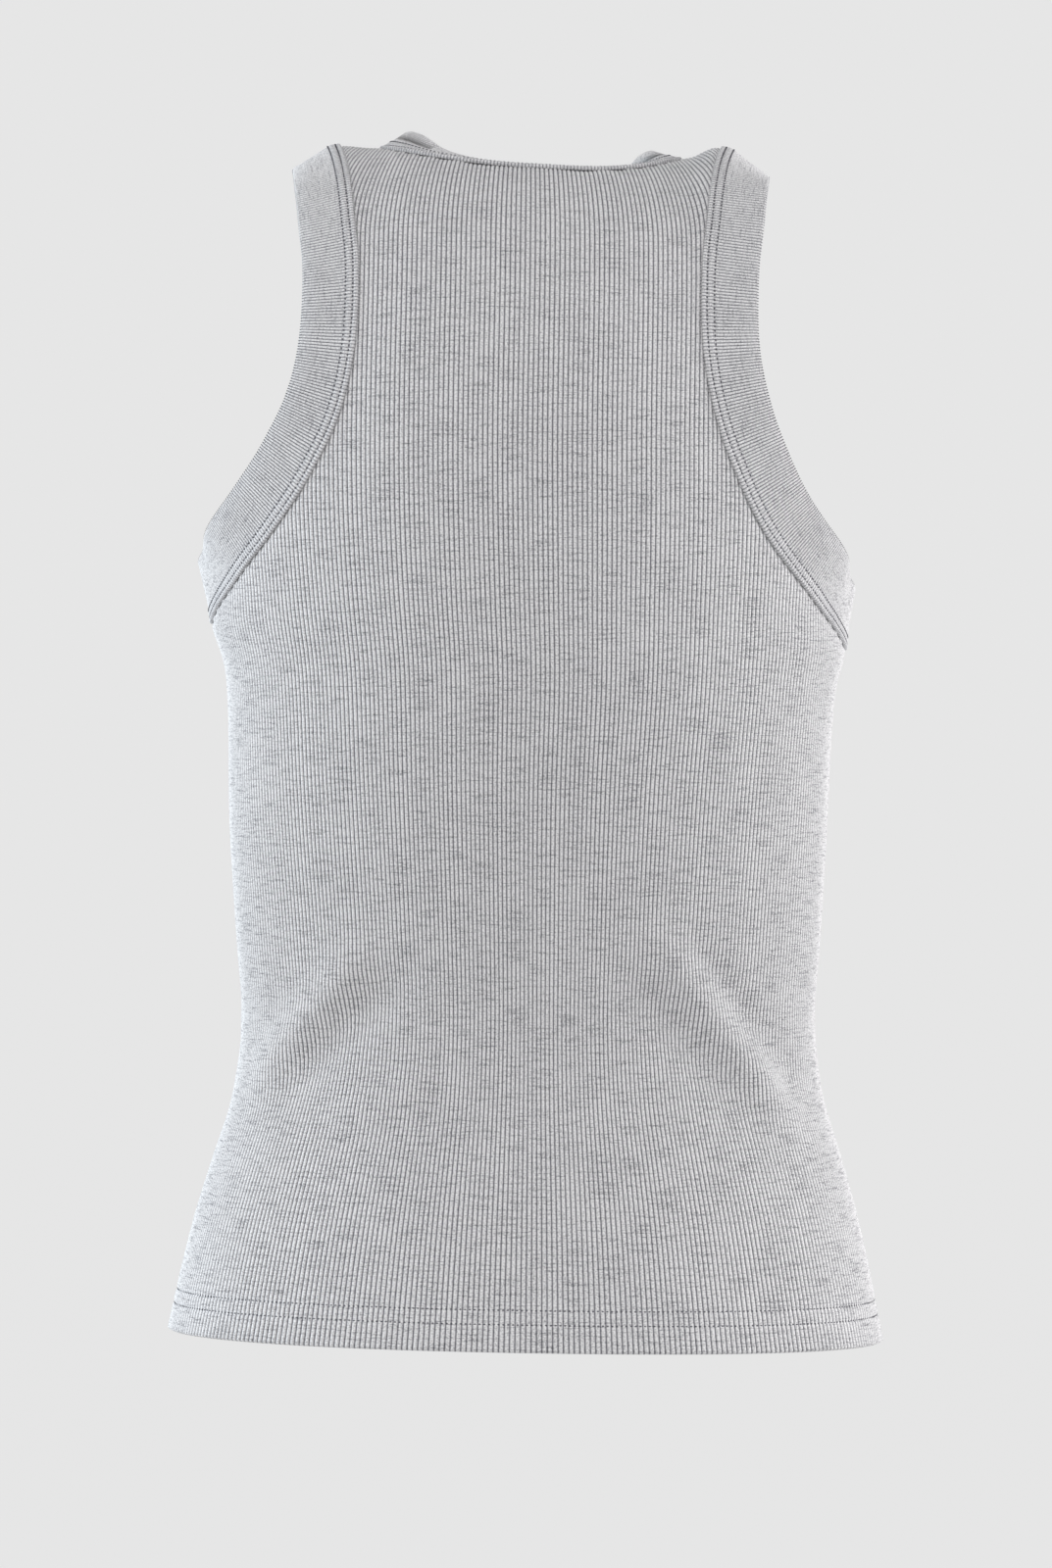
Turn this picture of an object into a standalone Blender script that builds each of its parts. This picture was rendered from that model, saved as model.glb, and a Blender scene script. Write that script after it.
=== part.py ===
"""A ribbed tank top, filled out as if worn: two panels, two armhole bands and a neckband.

It faces -Y, with its back to +Y and the wearer's left at +X. The origin lies between the two shoulder
straps, on their undersides. Sizes are in millimetres, and MM turns them into metres.

A point of the cloth is given by its turn and its height. The turn goes round a panel from 0 at the left
side seam to pi at the right one. The height is measured up the cloth, so it runs on over the shoulder.
"""

import math

import bmesh
import bpy
import numpy as np

MM = 0.001

# The body of the top, hem to chest. Above the last row the section stays as it is.
BODY_COLUMNS = ("height", "half_width", "back_depth", "front_depth")
BODY = (
    (-555.0, 167.5, 108.0, 108.0),
    (-528.0, 161.8, 104.5, 102.0),
    (-500.0, 155.2, 99.0, 97.5),
    (-473.0, 147.3, 91.5, 94.0),
    (-445.0, 138.6, 84.0, 92.0),
    (-410.0, 134.2, 79.0, 91.5),
    (-372.0, 136.6, 81.0, 93.5),
    (-320.0, 139.8, 87.5, 99.0),
    (-262.0, 141.8, 97.5, 107.0),
    (-243.0, 143.1, 99.5, 109.0),
    (-223.0, 145.4, 101.3, 110.6),
    (-200.0, 148.1, 102.8, 111.6),
    (-170.0, 150.2, 103.8, 112.0),
    (-150.0, 150.6, 104.0, 112.0),
)
SECTION_POWER = 2.25  # 2 is an ellipse, and more is squarer

# Over the shoulder each panel is a quarter of an ellipse, seen from the side.
BACK, FRONT = 1, -1
ARC_START = {BACK: -130.0, FRONT: -170.0}  # where the cloth starts to lean in
RIDGE_COLUMNS = ("x", "height")  # the top of the shoulders, seen from behind
RIDGE = (
    (-120, 0.3),
    (-90, 0.3),
    (-86, 0.3),
    (-75, -4.2),
    (-60, -5.0),
    (0, -1.0),
    (60, 1.0),
    (75, 0.2),
    (86, 1.2),
    (90, 1.4),
    (120, 1.4),
)
DRAWN_IN = 0.17  # how far the ribs close up towards the neck, as a share
DRAWN_FROM, DRAWN_TO = -40.0, 74.0
SWAY_COLUMNS = ("height", "shift")  # the centre line isn't quite straight
SWAY = ((-555, 0.9), (-404, -0.4), (-300, -0.6), (-245, -1.6), (-215, -0.8), (-150, 0), (-60, -1.2), (80, -1.6))
HEM_TILT = 3.0  # the hem's left end is this much higher than its middle
HEM_TILT_FROM = -440.0

# The armhole seam, from the shoulder to the underarm, alike on the back and the front.
ARMHOLE_COLUMNS = ("height", "half_width")
ARMHOLE = (
    (0.0, 89.0),
    (-6.0, 86.6),
    (-20.0, 83.2),
    (-38.0, 80.7),
    (-54.0, 78.7),
    (-72.0, 78.1),
    (-90.0, 78.5),
    (-105.0, 80.0),
    (-121.0, 83.2),
    (-137.0, 88.7),
    (-149.0, 94.8),
    (-163.0, 103.0),
    (-183.0, 117.6),
    (-205.0, 135.8),
    (-213.5, 141.7),
    (-219.0, 144.2),
    (-222.0, 145.15),
    (-223.0, 145.4),
)
RIGHT_DROP = 12.5  # the right armhole reaches lower than the left one
RIGHT_DROP_FROM, RIGHT_DROP_TO = -112.0, -180.0

# The neck seam is half an ellipse on each panel, measured up the cloth.
NECK_HALF_WIDTH = 71.0
NECK_DROP = {BACK: 55.0, FRONT: 176.0}
NECK_ROUND = {BACK: 0.92, FRONT: 0.85}  # under 1 is a squarer curve than an ellipse

# The bands hold the cloth out under the arms.
FLARE = 3.5
FLARE_HEIGHT = 13.0
FLARE_TURN = 0.5

# Cloth and bands.
CLOTH = 1.3
HEM_CLOTH = 2.6  # the hem is turned up inside
HEM_DEPTH = 18.5
HEM_STEP = 0.8
SEAM_GAP = 0.3
WELD = 1e-6  # metres
STRIP_WIDTH = 6.5  # the seam allowance under the twin stitching
STRIP_PROUD = 0.8  # above the panel's outer face
BAND_PROUD = 0.2
BAND_INSIDE = 2.2  # below the panel's outer face
ARM_BAND_BEND, NECK_BAND_BEND = 9.0, 4.0  # a band turns to its own lean over this width
BEND_STEPS = 12
ARM_BAND_EVENED, NECK_BAND_EVENED = 24.0, 12.0  # along a seam, over which a band's direction is evened out
BAND_MIDDLE = 0.6  # a row of points at this share of the width
ROUND_OFF = 1.0  # at the band's folded edge
STRIP_CORNER = 0.4
STRIP_SLOPE = 0.3
ARMHOLE_CENTRE = (200.0, 0.0, -120.0)  # what the band on the left faces
NECK_CENTRE = (0.0, -25.0, 30.0)
ARM_BAND_COLUMNS = ("share", "width", "lean")  # share 0 is the shoulder, 0.25 mid-back, 0.5 the underarm
ARM_BAND = (
    (0.00, 25.5, -38.0),
    (0.06, 26.5, -15.0),
    (0.16, 27.0, 0.0),
    (0.30, 28.5, 5.0),
    (0.38, 29.5, 9.0),
    (0.43, 30.0, 12.5),
    (0.47, 30.5, 9.0),
    (0.50, 30.5, 4.0),
    (0.53, 30.5, 6.0),
    (0.58, 29.5, 8.0),
    (0.70, 28.5, 5.0),
    (0.84, 27.0, 0.0),
    (0.94, 26.5, -15.0),
    (1.00, 25.5, -38.0),
)
NECK_BAND_COLUMNS = ("share", "width", "lean")  # share 0 is the left shoulder, 0.36 the right
NECK_BAND = (
    (0.00, 15.0, 32.0),
    (0.02, 15.8, 29.0),
    (0.045, 17.4, 14.0),
    (0.07, 18.5, -5.0),
    (0.12, 18.5, -20.0),
    (0.19, 18.5, -24.0),
    (0.26, 18.5, -25.0),
    (0.30, 18.5, -15.0),
    (0.325, 17.6, 5.0),
    (0.345, 16.0, 20.0),
    (0.36, 15.5, 25.0),
    (0.39, 16.0, 24.0),
    (0.45, 17.5, 17.0),
    (0.55, 18.5, 8.0),
    (0.68, 18.5, 2.0),
    (0.80, 18.5, 7.0),
    (0.90, 17.5, 19.0),
    (0.96, 15.8, 28.0),
    (0.99, 15.0, 32.0),
    (1.00, 15.0, 32.0),
)

# Folds in the cloth: from (x0, z0) to (x1, z1), as wide as its width, raised by its rise.
FOLD_COLUMNS = ("side", "x0", "z0", "x1", "z1", "width", "rise")
FOLDS = (
    (BACK, -65.5, -374.5, -122.0, -450.5, 13.0, 4.2),
    (BACK, -73.5, -368.5, -130.0, -444.5, 7.0, -2.6),
    (BACK, -44.5, -390.0, -84.0, -443.0, 12.0, -2.0),
    (BACK, 78.0, -377.0, 126.0, -438.0, 8.5, 4.3),
    (BACK, 56.0, -382.0, 114.0, -441.0, 10.0, -3.0),
    (BACK, 46.0, -434.0, 88.0, -450.0, 8.0, 1.6),
    (FRONT, -60.0, -352.0, -118.0, -424.0, 11.0, 2.2),
    (FRONT, -46.0, -362.0, -104.0, -436.0, 11.0, -1.8),
    (FRONT, 62.0, -360.0, 124.0, -432.0, 11.0, -2.0),
    (FRONT, 80.0, -356.0, 130.0, -414.0, 10.0, 1.8),
)

FOLD_RISES_OVER, FOLD_FADES_OVER = 0.4, 0.45  # shares of a fold's length
FOLD_RUNS_ON = (0.15, 0.2)  # past its two ends

# How finely the solids are cut.
CHEST_COLUMNS = 32  # across a panel, below the armholes
LOWER_ROWS = 22
ARMHOLE_ROWS = 20  # along each armhole seam, closer together at the underarm
UNDERARM_CLOSER = 1.2
ROWS_ACROSS = {BACK: 15, FRONT: 11}  # of those, how many run straight across the panel
NECK_RINGS = 5  # from the last such row, and the armholes over it, in to the neck
NECK_SIDE_SHARE = {BACK: 0.17, FRONT: 0.33}  # of the neck seam, what faces each armhole
SEAM_SAMPLES = 600
TURN_STEP, HEIGHT_STEP = 1e-3, 0.5  # for the cloth's direction at a point

KNIT_COLOUR = (0.47, 0.48, 0.5, 1.0)
BAND_COLOUR = (0.52, 0.53, 0.55, 1.0)
KNIT_ROUGHNESS = 0.95


def smooth(t):
    """An even step from 0 to 1."""
    t = np.clip(t, 0.0, 1.0)
    return t * t * (3 - 2 * t)


def read(table, at, column=1):
    """A smooth curve through one column of a table, read at a place in its first column."""
    rows = np.array(sorted(table), float)
    xs, ys = rows[:, 0], rows[:, column]
    slopes = np.gradient(ys, xs)
    at = np.clip(np.asarray(at, float), xs[0], xs[-1])
    i = np.clip(np.searchsorted(xs, at) - 1, 0, len(xs) - 2)
    step = xs[i + 1] - xs[i]
    t = (at - xs[i]) / step
    near = (1 + 2 * t) * (1 - t) ** 2 * ys[i] + t * (1 - t) ** 2 * step * slopes[i]
    far = t * t * (3 - 2 * t) * ys[i + 1] - t * t * (1 - t) * step * slopes[i + 1]
    return near + far


def drawn_in(height):
    return 1 - DRAWN_IN * smooth((height - DRAWN_FROM) / (DRAWN_TO - DRAWN_FROM))


def ridge_height(side):
    """The height along the cloth at which a panel reaches the shoulder seam."""
    start = ARC_START[side]
    return start - start * math.pi / 2


def flare(turn, height):
    """How far the cloth stands out under the arms."""
    underarm = ARMHOLE[-1][0] - np.where(np.cos(turn) < 0, RIGHT_DROP, 0.0)
    near_seam = np.exp(-((np.minimum(turn, math.pi - turn) / FLARE_TURN) ** 2))
    return FLARE * near_seam * np.exp(-(((height - underarm) / FLARE_HEIGHT) ** 2))


def bare_cloth(side, turn, height):
    """The outer face without folds."""
    half_width = read(BODY, height, 1)
    depth = read(BODY, height, 2 if side == BACK else 3)
    cos, sin = np.cos(turn), np.abs(np.sin(turn))
    x = half_width * np.sign(cos) * np.abs(cos) ** (2 / SECTION_POWER) * drawn_in(height)
    x = x + np.sign(cos) * flare(turn, height)
    y = depth * sin ** (2 / SECTION_POWER)
    start = ARC_START[side]
    lean = np.clip((height - start) / -start, 0.0, math.pi / 2)
    top = read(RIDGE, x) - start
    z = np.where(height > start, start + top * np.sin(lean), height)
    z = z + HEM_TILT * x / BODY[0][1] * smooth((HEM_TILT_FROM - height) / (HEM_TILT_FROM - BODY[0][0]))
    return np.stack([x + read(SWAY, height), side * y * np.cos(lean), z], axis=-1)


def normal_of(surface, side, turn, height):
    """The direction out of a surface, from small steps along it."""
    turn = np.clip(turn, 2 * TURN_STEP, math.pi - 2 * TURN_STEP)
    height = np.minimum(height, ridge_height(side) - 2 * HEIGHT_STEP)
    across = surface(side, turn + TURN_STEP, height) - surface(side, turn - TURN_STEP, height)
    up = surface(side, turn, height + HEIGHT_STEP) - surface(side, turn, height - HEIGHT_STEP)
    out = np.cross(across, up) * side
    return out / np.linalg.norm(out, axis=-1, keepdims=True)


def fold_rise(side, point):
    """How far the folds lift the cloth at a point."""
    rise = np.zeros(point.shape[:-1])
    for fold_side, x0, z0, x1, z1, width, height in FOLDS:
        if fold_side != side:
            continue
        run = np.array([x1 - x0, z1 - z0])
        from_start = point[..., [0, 2]] - np.array([x0, z0])
        along = from_start @ run / (run @ run)
        off = (from_start @ np.array([run[1], -run[0]])) / np.linalg.norm(run)
        start = smooth((along + FOLD_RUNS_ON[0]) / FOLD_RISES_OVER)
        ends = start * smooth((1 + FOLD_RUNS_ON[1] - along) / FOLD_FADES_OVER)
        rise += height * ends * np.exp(-((off / width) ** 2))
    return rise


def cloth(side, turn, height):
    """The outer face of a panel."""
    point = bare_cloth(side, turn, height)
    return point + normal_of(bare_cloth, side, turn, height) * fold_rise(side, point)[..., None]


def turn_at(x, height):
    """The turn of the cloth at a distance x from the centre line."""
    share = np.clip(np.abs(x) / (read(BODY, height, 1) * drawn_in(height)), 0.0, 1.0)
    return np.arccos(np.sign(x) * share ** (SECTION_POWER / 2))


def evenly(points, path, shares):
    """Rows of points, read at shares of the length of the path that they follow."""
    steps = np.linalg.norm(np.diff(path, axis=0), axis=1)
    along = np.concatenate([[0.0], np.cumsum(steps)])
    at = shares * along[-1]
    return np.stack([np.interp(at, along, points[:, k]) for k in range(points.shape[1])], axis=1)


def armhole_line(side, hand):
    """(turn, height) closely along an armhole seam, from the underarm up. Hand is 1 on the left."""
    rows = np.array(ARMHOLE)
    row = np.linspace(len(rows) - 1.0, 0.0, SEAM_SAMPLES)
    z = np.interp(row, range(len(rows)), rows[:, 0])
    start = ARC_START[side]
    height = np.where(z > start, start - start * np.arcsin(np.clip((z - start) / -start, -1.0, 1.0)), z)
    turn = turn_at(hand * read(ARMHOLE, z), height)
    turn[0] = 0.0 if hand > 0 else math.pi
    if hand < 0:
        height = height - RIGHT_DROP * smooth((z - RIGHT_DROP_FROM) / (RIGHT_DROP_TO - RIGHT_DROP_FROM))
    return turn, height


def armhole_seam(side, hand):
    """(turn, height) for each row along an armhole seam."""
    turn, height = armhole_line(side, hand)
    shares = np.linspace(0.0, 1.0, ARMHOLE_ROWS + 1) ** UNDERARM_CLOSER
    return evenly(np.stack([turn, height], axis=1), cloth(side, turn, height), shares)


def neck_seam(side):
    """(turn, height) along a neck seam, from the left shoulder to the right one."""
    angle = np.linspace(0.0, math.pi, SEAM_SAMPLES)
    height = ridge_height(side) - NECK_DROP[side] * np.sin(angle) ** NECK_ROUND[side]
    across = np.sign(np.cos(angle)) * np.abs(np.cos(angle)) ** NECK_ROUND[side]
    turn = turn_at(NECK_HALF_WIDTH * across, height)
    beside, below = ARMHOLE_ROWS - ROWS_ACROSS[side], NECK_SIDE_SHARE[side]
    facing_armhole = np.linspace(0.0, below, beside + 1)
    facing_chest = np.linspace(below, 1 - below, CHEST_COLUMNS + 1)
    at = np.concatenate([facing_armhole, facing_chest[1:-1], 1 - facing_armhole[::-1]])
    return evenly(np.stack([turn, height], axis=1), cloth(side, turn, height), at)


def seam_reach(side, hand, height):
    """How far round the armhole seam lies from the centre line, at a height."""
    turn, seam_height = armhole_line(side, hand)
    return np.interp(height, seam_height, np.abs(math.pi / 2 - turn))


def to_shares(side, points):
    """(turn, height) with the turn as a share of the way from the centre line to the armhole seam."""
    from_centre, height = math.pi / 2 - points[..., 0], points[..., 1]
    left, right = (seam_reach(side, hand, height) for hand in (1, -1))
    return np.stack([from_centre / np.where(from_centre > 0, left, right), height], axis=-1)


def from_shares(side, points):
    """The other way round."""
    share, height = points[..., 0], points[..., 1]
    left, right = (seam_reach(side, hand, height) for hand in (1, -1))
    return np.stack([math.pi / 2 - share * np.where(share > 0, left, right), height], axis=-1)


def between(first, last, count):
    """Rows from one line of points to another."""
    return np.array([(1 - share) * first + share * last for share in np.linspace(0.0, 1.0, count + 1)])


def panel_nets(side):
    """(turn, height) for a panel: rows up to the underarms, rows above them, and rings to the neck."""
    left, right = armhole_seam(side, 1), armhole_seam(side, -1)
    rows = ROWS_ACROSS[side]
    across = np.linspace(1.0, -1.0, CHEST_COLUMNS + 1)
    levels = [left[r, 1] * (1 + across) / 2 + right[r, 1] * (1 - across) / 2 for r in range(rows + 1)]
    middle = from_shares(side, np.array([np.stack([across, level], axis=1) for level in levels]))
    middle[:, 0], middle[:, -1] = left[: rows + 1], right[: rows + 1]
    chest = middle[0]
    hem = chest * [1, 0] + [0, BODY[0][0]]
    lower = np.array([(1 - share) * hem + share * chest for share in lower_rows(chest[0][1])])
    outline = np.concatenate([left[:rows:-1], middle[-1], right[rows + 1 :]])
    neck = neck_seam(side)
    rings = from_shares(side, between(to_shares(side, outline), to_shares(side, neck), NECK_RINGS))
    rings[0], rings[-1] = outline, neck
    return lower, middle, rings


def lower_rows(chest_height):
    """How far up the lower part each row lies: the hem, its upper edge, and even rows."""
    whole = chest_height - BODY[0][0]
    hem_top = HEM_DEPTH / whole
    first = [0.0, hem_top / 2, hem_top, hem_top + HEM_STEP / whole]
    return first + list(np.linspace(first[-1], 1.0, LOWER_ROWS - 2)[1:])


def panel_faces(side, net):
    """The outer and inner points of a panel, kept back from the side and shoulder seams by half the gap."""
    turn, height = net[..., 0], net[..., 1]
    outer = cloth(side, turn, height)
    in_hem = height < BODY[0][0] + HEM_DEPTH + HEM_STEP / 2
    thickness = np.where(in_hem, HEM_CLOTH, CLOTH)[..., None]
    inner = outer - normal_of(cloth, side, turn, height) * thickness
    for face in (outer, inner):
        face[..., 1] = side * np.maximum(side * face[..., 1], SEAM_GAP / 2)
    return outer * MM, inner * MM


def collection_named(name):
    made = bpy.data.collections.new(name)
    bpy.context.scene.collection.children.link(made)
    return made


def material_named(name, colour, roughness):
    made = bpy.data.materials.new(name)
    made.use_nodes = True
    shader = made.node_tree.nodes["Principled BSDF"]
    shader.inputs["Base Color"].default_value = colour
    shader.inputs["Roughness"].default_value = roughness
    shader.inputs["Metallic"].default_value = 0.0
    return made


def add_object(name, mesh, material, collection):
    mesh.materials.append(material)
    mesh.shade_smooth()
    made = bpy.data.objects.new(name, mesh)
    collection.objects.link(made)
    return made


def add_grid(bm, outer, inner=None):
    """A grid moved to the given rows and columns of points. Each point remembers its inner one."""
    layer = bm.verts.layers.float_vector.get("inner") or bm.verts.layers.float_vector.new("inner")
    rows, columns = outer.shape[:2]
    made = bmesh.ops.create_grid(bm, x_segments=rows - 1, y_segments=columns - 1, size=0.5)
    for vert in made["verts"]:
        row = round((vert.co.x + 0.5) * (rows - 1))
        column = round((vert.co.y + 0.5) * (columns - 1))
        vert.co = outer[row, column]
        if inner is not None:
            vert[layer] = inner[row, column]


def finished_mesh(name, bm):
    bmesh.ops.recalc_face_normals(bm, faces=bm.faces)
    mesh = bpy.data.meshes.new(name)
    bm.to_mesh(mesh)
    bm.free()
    return mesh


def make_panel(name, side, material, collection):
    """A panel as a closed wall: its outer face, an inner copy, and the rim between them."""
    bm = bmesh.new()
    for net in panel_nets(side):
        add_grid(bm, *panel_faces(side, net))
    bmesh.ops.remove_doubles(bm, verts=bm.verts, dist=WELD)
    layer = bm.verts.layers.float_vector["inner"]
    copy = bmesh.ops.duplicate(bm, geom=bm.verts[:] + bm.edges[:] + bm.faces[:])["geom"]
    for vert in (item for item in copy if isinstance(item, bmesh.types.BMVert)):
        vert.co = vert[layer]
    rim = [edge for edge in bm.edges if edge.is_boundary]
    bmesh.ops.bridge_loops(bm, edges=rim)
    return add_object(name, finished_mesh(name, bm), material, collection)


def make_band(name, frames, table, bend, material, collection):
    """A band as a closed ring, its section carried round the seam."""
    bm = bmesh.new()
    add_grid(bm, band_points(frames, table, bend))
    bmesh.ops.remove_doubles(bm, verts=bm.verts, dist=WELD)
    return add_object(name, finished_mesh(name, bm), material, collection)


def evened(directions, places, reach):
    """Directions along a closed loop, averaged with the ones near them."""
    steps = np.linalg.norm(places - np.roll(places, 1, axis=0), axis=1)
    along = np.cumsum(steps)
    apart = np.abs(along[:, None] - along)
    apart = np.minimum(apart, along[-1] - apart)
    share = np.exp(-((apart / reach) ** 2)) * (steps + np.roll(steps, -1))
    return share @ directions


def loop_frames(seams, centre, reach):
    """Places, outward normals and directions into the hole, along a closed seam."""
    places, outs = [], []
    for side, turn, height in seams:
        places.append(cloth(side, turn, height))
        outs.append(normal_of(cloth, side, turn, height))
    places, outs = np.concatenate(places), np.concatenate(outs)
    ahead = np.roll(places, -1, axis=0) - np.roll(places, 1, axis=0)
    into = np.cross(ahead, outs)
    into *= np.sign(((centre - places) * into).sum(axis=1, keepdims=True))
    into = evened(into / np.linalg.norm(into, axis=1, keepdims=True), places, reach)
    into -= outs * (into * outs).sum(axis=1, keepdims=True)
    return places, outs, into / np.linalg.norm(into, axis=1, keepdims=True)


def band_profile(width):
    """(distance from the seam, height over the panel's face) round a band's section."""
    middle = width * BAND_MIDDLE
    return (
        (SEAM_GAP, STRIP_PROUD - STRIP_SLOPE),
        (SEAM_GAP + STRIP_CORNER, STRIP_PROUD),
        (STRIP_WIDTH - STRIP_SLOPE, STRIP_PROUD),
        (STRIP_WIDTH + STRIP_SLOPE, BAND_PROUD),
        (middle, BAND_PROUD),
        (width - ROUND_OFF, BAND_PROUD),
        (width, (BAND_PROUD - BAND_INSIDE) / 2),
        (width - ROUND_OFF, -BAND_INSIDE),
        (middle, -BAND_INSIDE),
        (STRIP_WIDTH, -BAND_INSIDE),
        (SEAM_GAP, -BAND_INSIDE),
    )


def band_points(frames, table, bend):
    """A band's section, carried round its seam."""
    places, outs, into = frames
    along = np.concatenate([[0.0], np.cumsum(np.linalg.norm(np.diff(places, axis=0), axis=1))])
    whole = along[-1] + np.linalg.norm(places[0] - places[-1])
    rings = []
    for place, out, inward, share in zip(places, outs, into, along / whole):
        width, lean = float(read(table, share, 1)), math.radians(float(read(table, share, 2)))
        rings.append([bent(place, out, inward, lean, bend, q, n) for q, n in band_profile(width)])
    rings = np.array(rings)
    rings = np.concatenate([rings, rings[:1]])
    return np.concatenate([rings, rings[:, :1]], axis=1) * MM


def bent(place, out, inward, lean, bend, distance, over):
    """A point of a band: it leaves the panel flush, and turns to its lean over the width of the bend."""
    at = place.copy()
    for k in range(BEND_STEPS):
        angle = lean * smooth((k + 0.5) / BEND_STEPS * distance / bend)
        at = at + (inward * math.cos(angle) + out * math.sin(angle)) * distance / BEND_STEPS
    angle = lean * smooth(distance / bend)
    return at + (out * math.cos(angle) - inward * math.sin(angle)) * over


def seam_loop(back, front, centre, reach):
    """Frames round a whole hole, from a shoulder over the back and round the front."""
    seams = ((BACK, back[:-1, 0], back[:-1, 1]), (FRONT, front[:-1, 0], front[:-1, 1]))
    return loop_frames(seams, centre, reach)


def make_armhole_band(name, hand, material, collection):
    back, front = armhole_seam(BACK, hand)[::-1], armhole_seam(FRONT, hand)
    frames = seam_loop(back, front, np.array(ARMHOLE_CENTRE) * [hand, 1, 1], ARM_BAND_EVENED)
    return make_band(name, frames, ARM_BAND, ARM_BAND_BEND, material, collection)


def make_neckband(name, material, collection):
    back, front = neck_seam(BACK), neck_seam(FRONT)[::-1]
    frames = seam_loop(back, front, np.array(NECK_CENTRE), NECK_BAND_EVENED)
    return make_band(name, frames, NECK_BAND, NECK_BAND_BEND, material, collection)


def clear_scene():
    for old in list(bpy.data.objects):
        bpy.data.objects.remove(old, do_unlink=True)


def build():
    clear_scene()
    top = collection_named("tank_top")
    knit = material_named("rib_knit", KNIT_COLOUR, KNIT_ROUGHNESS)
    band = material_named("rib_band", BAND_COLOUR, KNIT_ROUGHNESS)
    make_panel("back_panel", BACK, knit, top)
    make_panel("front_panel", FRONT, knit, top)
    make_armhole_band("armhole_band_left", 1, band, top)
    make_armhole_band("armhole_band_right", -1, band, top)
    make_neckband("neckband", band, top)


build()
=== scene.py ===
import math

import bmesh
import bpy
import numpy as np
from mathutils import Matrix, Vector
from mathutils.kdtree import KDTree


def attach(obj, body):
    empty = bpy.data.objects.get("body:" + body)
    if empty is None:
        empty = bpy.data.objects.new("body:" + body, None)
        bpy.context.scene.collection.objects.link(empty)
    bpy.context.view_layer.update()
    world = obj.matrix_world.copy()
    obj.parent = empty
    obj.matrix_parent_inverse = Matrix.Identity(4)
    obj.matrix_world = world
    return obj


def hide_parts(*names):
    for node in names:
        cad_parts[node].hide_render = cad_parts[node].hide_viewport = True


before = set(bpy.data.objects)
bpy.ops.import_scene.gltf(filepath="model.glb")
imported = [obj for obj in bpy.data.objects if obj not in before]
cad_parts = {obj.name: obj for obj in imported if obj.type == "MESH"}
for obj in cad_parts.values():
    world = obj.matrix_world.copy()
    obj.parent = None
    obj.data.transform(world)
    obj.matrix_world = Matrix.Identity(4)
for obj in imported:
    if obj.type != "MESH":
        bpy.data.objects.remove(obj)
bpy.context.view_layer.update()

# A ribbed tank top. Sizes are in millimetres, and MM turns them into metres. A point of the cloth is
# given by its turn, from 0 at the left side seam to pi at the right one, and by its height, measured
# up the cloth. What is written before a table names its columns.
MM = 0.001

# The body of the top, hem to chest: (height, half width, back depth, front depth).
# Above the last row the section stays as it is.
BODY = (
    (-555.0, 167.5, 108.0, 108.0),
    (-528.0, 161.8, 104.5, 102.0),
    (-500.0, 155.2, 99.0, 97.5),
    (-473.0, 147.3, 91.5, 94.0),
    (-445.0, 138.6, 84.0, 92.0),
    (-410.0, 134.2, 79.0, 91.5),
    (-372.0, 136.6, 81.0, 93.5),
    (-320.0, 139.8, 87.5, 99.0),
    (-262.0, 141.8, 97.5, 107.0),
    (-243.0, 143.1, 99.5, 109.0),
    (-223.0, 145.4, 101.3, 110.6),
    (-200.0, 148.1, 102.8, 111.6),
    (-170.0, 150.2, 103.8, 112.0),
    (-150.0, 150.6, 104.0, 112.0),
)
SECTION_POWER = 2.25  # 2 is an ellipse, and more is squarer

# Over the shoulder each panel is a quarter of an ellipse, seen from the side.
BACK, FRONT = 1, -1
ARC_START = {BACK: -130.0, FRONT: -170.0}  # where the cloth starts to lean in
# The top of the shoulders, seen from behind: (x, height).
RIDGE = (
    (-120, 0.3),
    (-90, 0.3),
    (-86, 0.3),
    (-75, -4.2),
    (-60, -5.0),
    (0, -1.0),
    (60, 1.0),
    (75, 0.2),
    (86, 1.2),
    (90, 1.4),
    (120, 1.4),
)
DRAWN_IN = 0.17  # how far the ribs close up towards the neck, as a share
DRAWN_FROM, DRAWN_TO = -40.0, 74.0
# The centre line isn't quite straight: (height, shift).
SWAY = (
    (-555, 0.9),
    (-404, -0.4),
    (-300, -0.6),
    (-245, -1.6),
    (-215, -0.8),
    (-150, 0),
    (-60, -1.2),
    (80, -1.6),
)
HEM_TILT = 3.0  # the hem's left end is this much higher than its middle
HEM_TILT_FROM = -440.0

# The armhole seam, from the shoulder to the underarm, alike on back and front: (height, half width).
ARMHOLE = (
    (0.0, 89.0),
    (-6.0, 86.6),
    (-20.0, 83.2),
    (-38.0, 80.7),
    (-54.0, 78.7),
    (-72.0, 78.1),
    (-90.0, 78.5),
    (-105.0, 80.0),
    (-121.0, 83.2),
    (-137.0, 88.7),
    (-149.0, 94.8),
    (-163.0, 103.0),
    (-183.0, 117.6),
    (-205.0, 135.8),
    (-213.5, 141.7),
    (-219.0, 144.2),
    (-222.0, 145.15),
    (-223.0, 145.4),
)
RIGHT_DROP = 12.5  # the right armhole reaches lower than the left one
RIGHT_DROP_FROM, RIGHT_DROP_TO = -112.0, -180.0

# The neck seam is half an ellipse on each panel, measured up the cloth.
NECK_HALF_WIDTH = 71.0
NECK_DROP = {BACK: 55.0, FRONT: 176.0}
NECK_ROUND = {BACK: 0.92, FRONT: 0.85}  # under 1 is a squarer curve than an ellipse

# The bands hold the cloth out under the arms.
FLARE = 3.5
FLARE_HEIGHT = 13.0
FLARE_TURN = 0.5

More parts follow.
